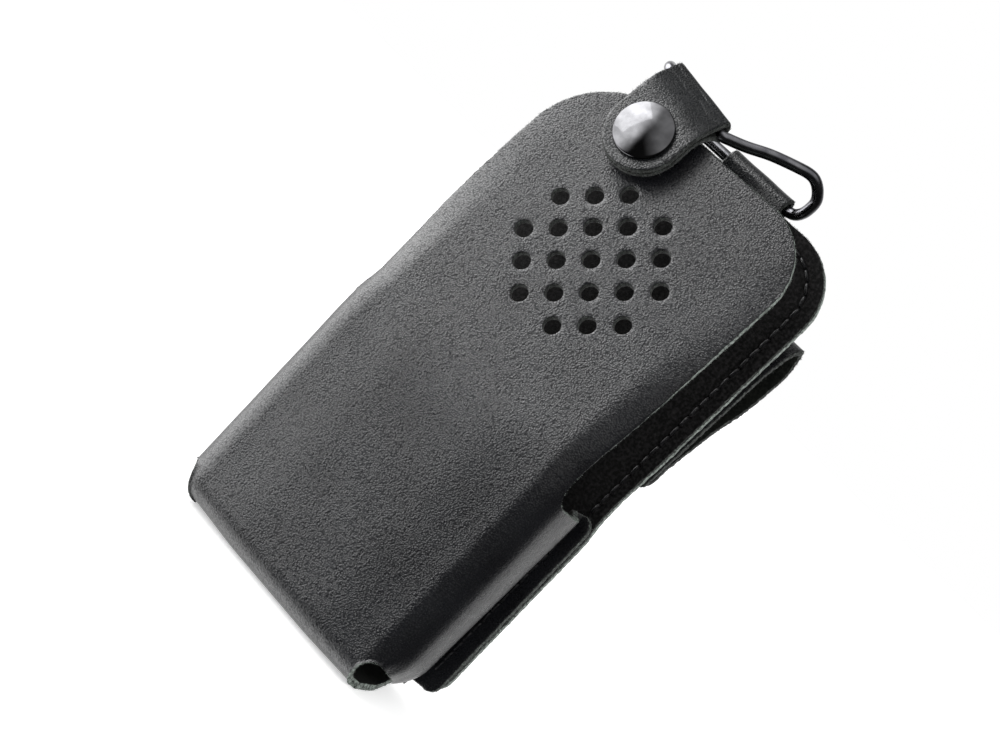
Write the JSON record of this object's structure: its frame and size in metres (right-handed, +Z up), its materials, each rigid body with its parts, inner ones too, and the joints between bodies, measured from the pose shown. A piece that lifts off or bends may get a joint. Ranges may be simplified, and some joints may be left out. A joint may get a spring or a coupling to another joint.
{
  "type": "leather radio carry case",
  "caption": "Moulded black leather belt case for a handheld radio, with a perforated front flap, snap strap, wire bail and a folded belt loop.",
  "frame": {"origin": "under the middle of the overall box, at the level of the sole", "axes": "+Z up towards the open top, -Y out of the front flap, +Y towards the belt loop, +X to the right seen from the front"},
  "size_m": [0.0804, 0.0506, 0.1557],
  "materials": {
    "grain_leather": "fine pebble grain, satin black",
    "suede_leather": "matt napped flesh side, charcoal black",
    "strap_leather": "fine pebble grain, satin black, creased at the bends",
    "thread": "black bonded nylon",
    "snap_nickel": "polished black nickel",
    "gunmetal_wire": "smooth gunmetal plating"
  },
  "bodies": {
    "case": {"front_shell": "grain_leather", "back_lining": "suede_leather", "back_panel": "grain_leather", "belt_loop": "grain_leather", "bail_hanger": "strap_leather", "flange_thread_left": "thread", "flange_thread_right": "thread", "panel_thread_left": "thread", "panel_thread_right": "thread", "sole_thread": "thread", "hanger_thread": "thread", "loop_thread_upper": "thread", "loop_thread_lower": "thread"},
    "flap": {"front_flap": "grain_leather", "snap_stud": "snap_nickel", "snap_post": "snap_nickel"},
    "bail": {"wire_bail": "gunmetal_wire"},
    "strap": {"closure_tab": "strap_leather", "snap_cap": "snap_nickel", "snap_socket": "snap_nickel"}
  },
  "joints": [
    {"name": "bail_swing", "type": "hinge", "parent": "case", "child": "bail", "pos_m": [0.0065, 0.0098, 0.14525], "axis": [-1, 0, 0], "range_deg": [0, 135]},
    {"name": "strap_swing", "type": "hinge", "parent": "bail", "child": "strap", "pos_m": [-0.0124, -0.00564, 0.14857], "axis": [-0.9877, 0.0325, 0.153], "range_deg": [0, 120]},
    {"name": "flap_flex", "type": "hinge", "parent": "case", "child": "flap", "pos_m": [0, -0.02425, 0.064], "axis": [1, 0, 0], "range_deg": [0, 8]}
  ],
  "couplings": [
    {"joint": "flap_flex", "follows": "bail_swing", "ratio": 0.059}
  ]
}
